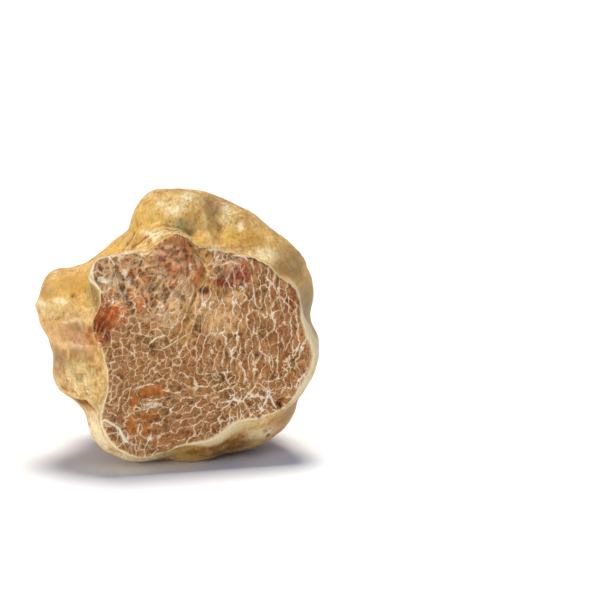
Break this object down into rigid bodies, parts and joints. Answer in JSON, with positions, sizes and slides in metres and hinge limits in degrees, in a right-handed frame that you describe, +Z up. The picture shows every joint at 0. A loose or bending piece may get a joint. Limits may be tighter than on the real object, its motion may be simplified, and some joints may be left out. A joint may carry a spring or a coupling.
{
  "type": "white truffle",
  "caption": "Lobed white truffle with a slice cut off its front, showing marbled flesh inside a thin ochre skin, resting on a small flat spot.",
  "frame": {"origin": "middle of the flat spot under the truffle, on the surface that it rests on", "axes": "+Z up; the cut face looks along -Y, turned 15 degrees towards +X; +X to the right of someone facing the cut face"},
  "size_m": [0.0597, 0.0442, 0.059],
  "materials": {
    "truffle_tissue": "dry ochre-cream skin with a faint waxy sheen; the cut face is moist brown flesh with fine white veins"
  },
  "bodies": {
    "root": {"truffle": "truffle_tissue"}
  },
  "joints": []
}
